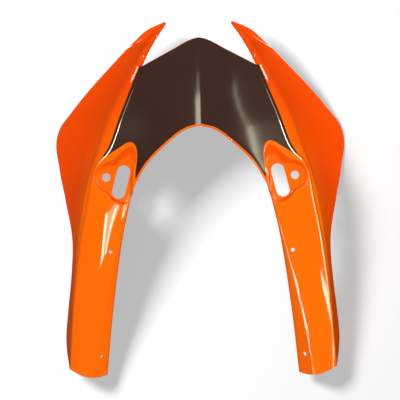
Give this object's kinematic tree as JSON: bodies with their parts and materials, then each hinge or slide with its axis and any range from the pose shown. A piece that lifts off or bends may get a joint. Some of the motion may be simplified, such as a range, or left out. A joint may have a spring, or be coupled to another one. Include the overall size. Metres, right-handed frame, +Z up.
{
  "type": "motorcycle nose cowl",
  "caption": "Upper nose cowl of a sport motorcycle: a thin moulded crown with two long arms round the screen opening, side wings, front spikes and pressed recesses for the mirrors.",
  "frame": {"origin": "under the middle of the cowl, in the plane its lower rims rest on, centred from front to back and from side to side", "axes": "+X to the rider's right, +Y forward to the nose and spikes, +Z up from the lower rims to the crown"},
  "size_m": [0.542, 0.6606, 0.1493],
  "materials": {
    "paint": "gloss"
  },
  "bodies": {
    "root": {"nose_cowl": "paint"}
  },
  "joints": []
}
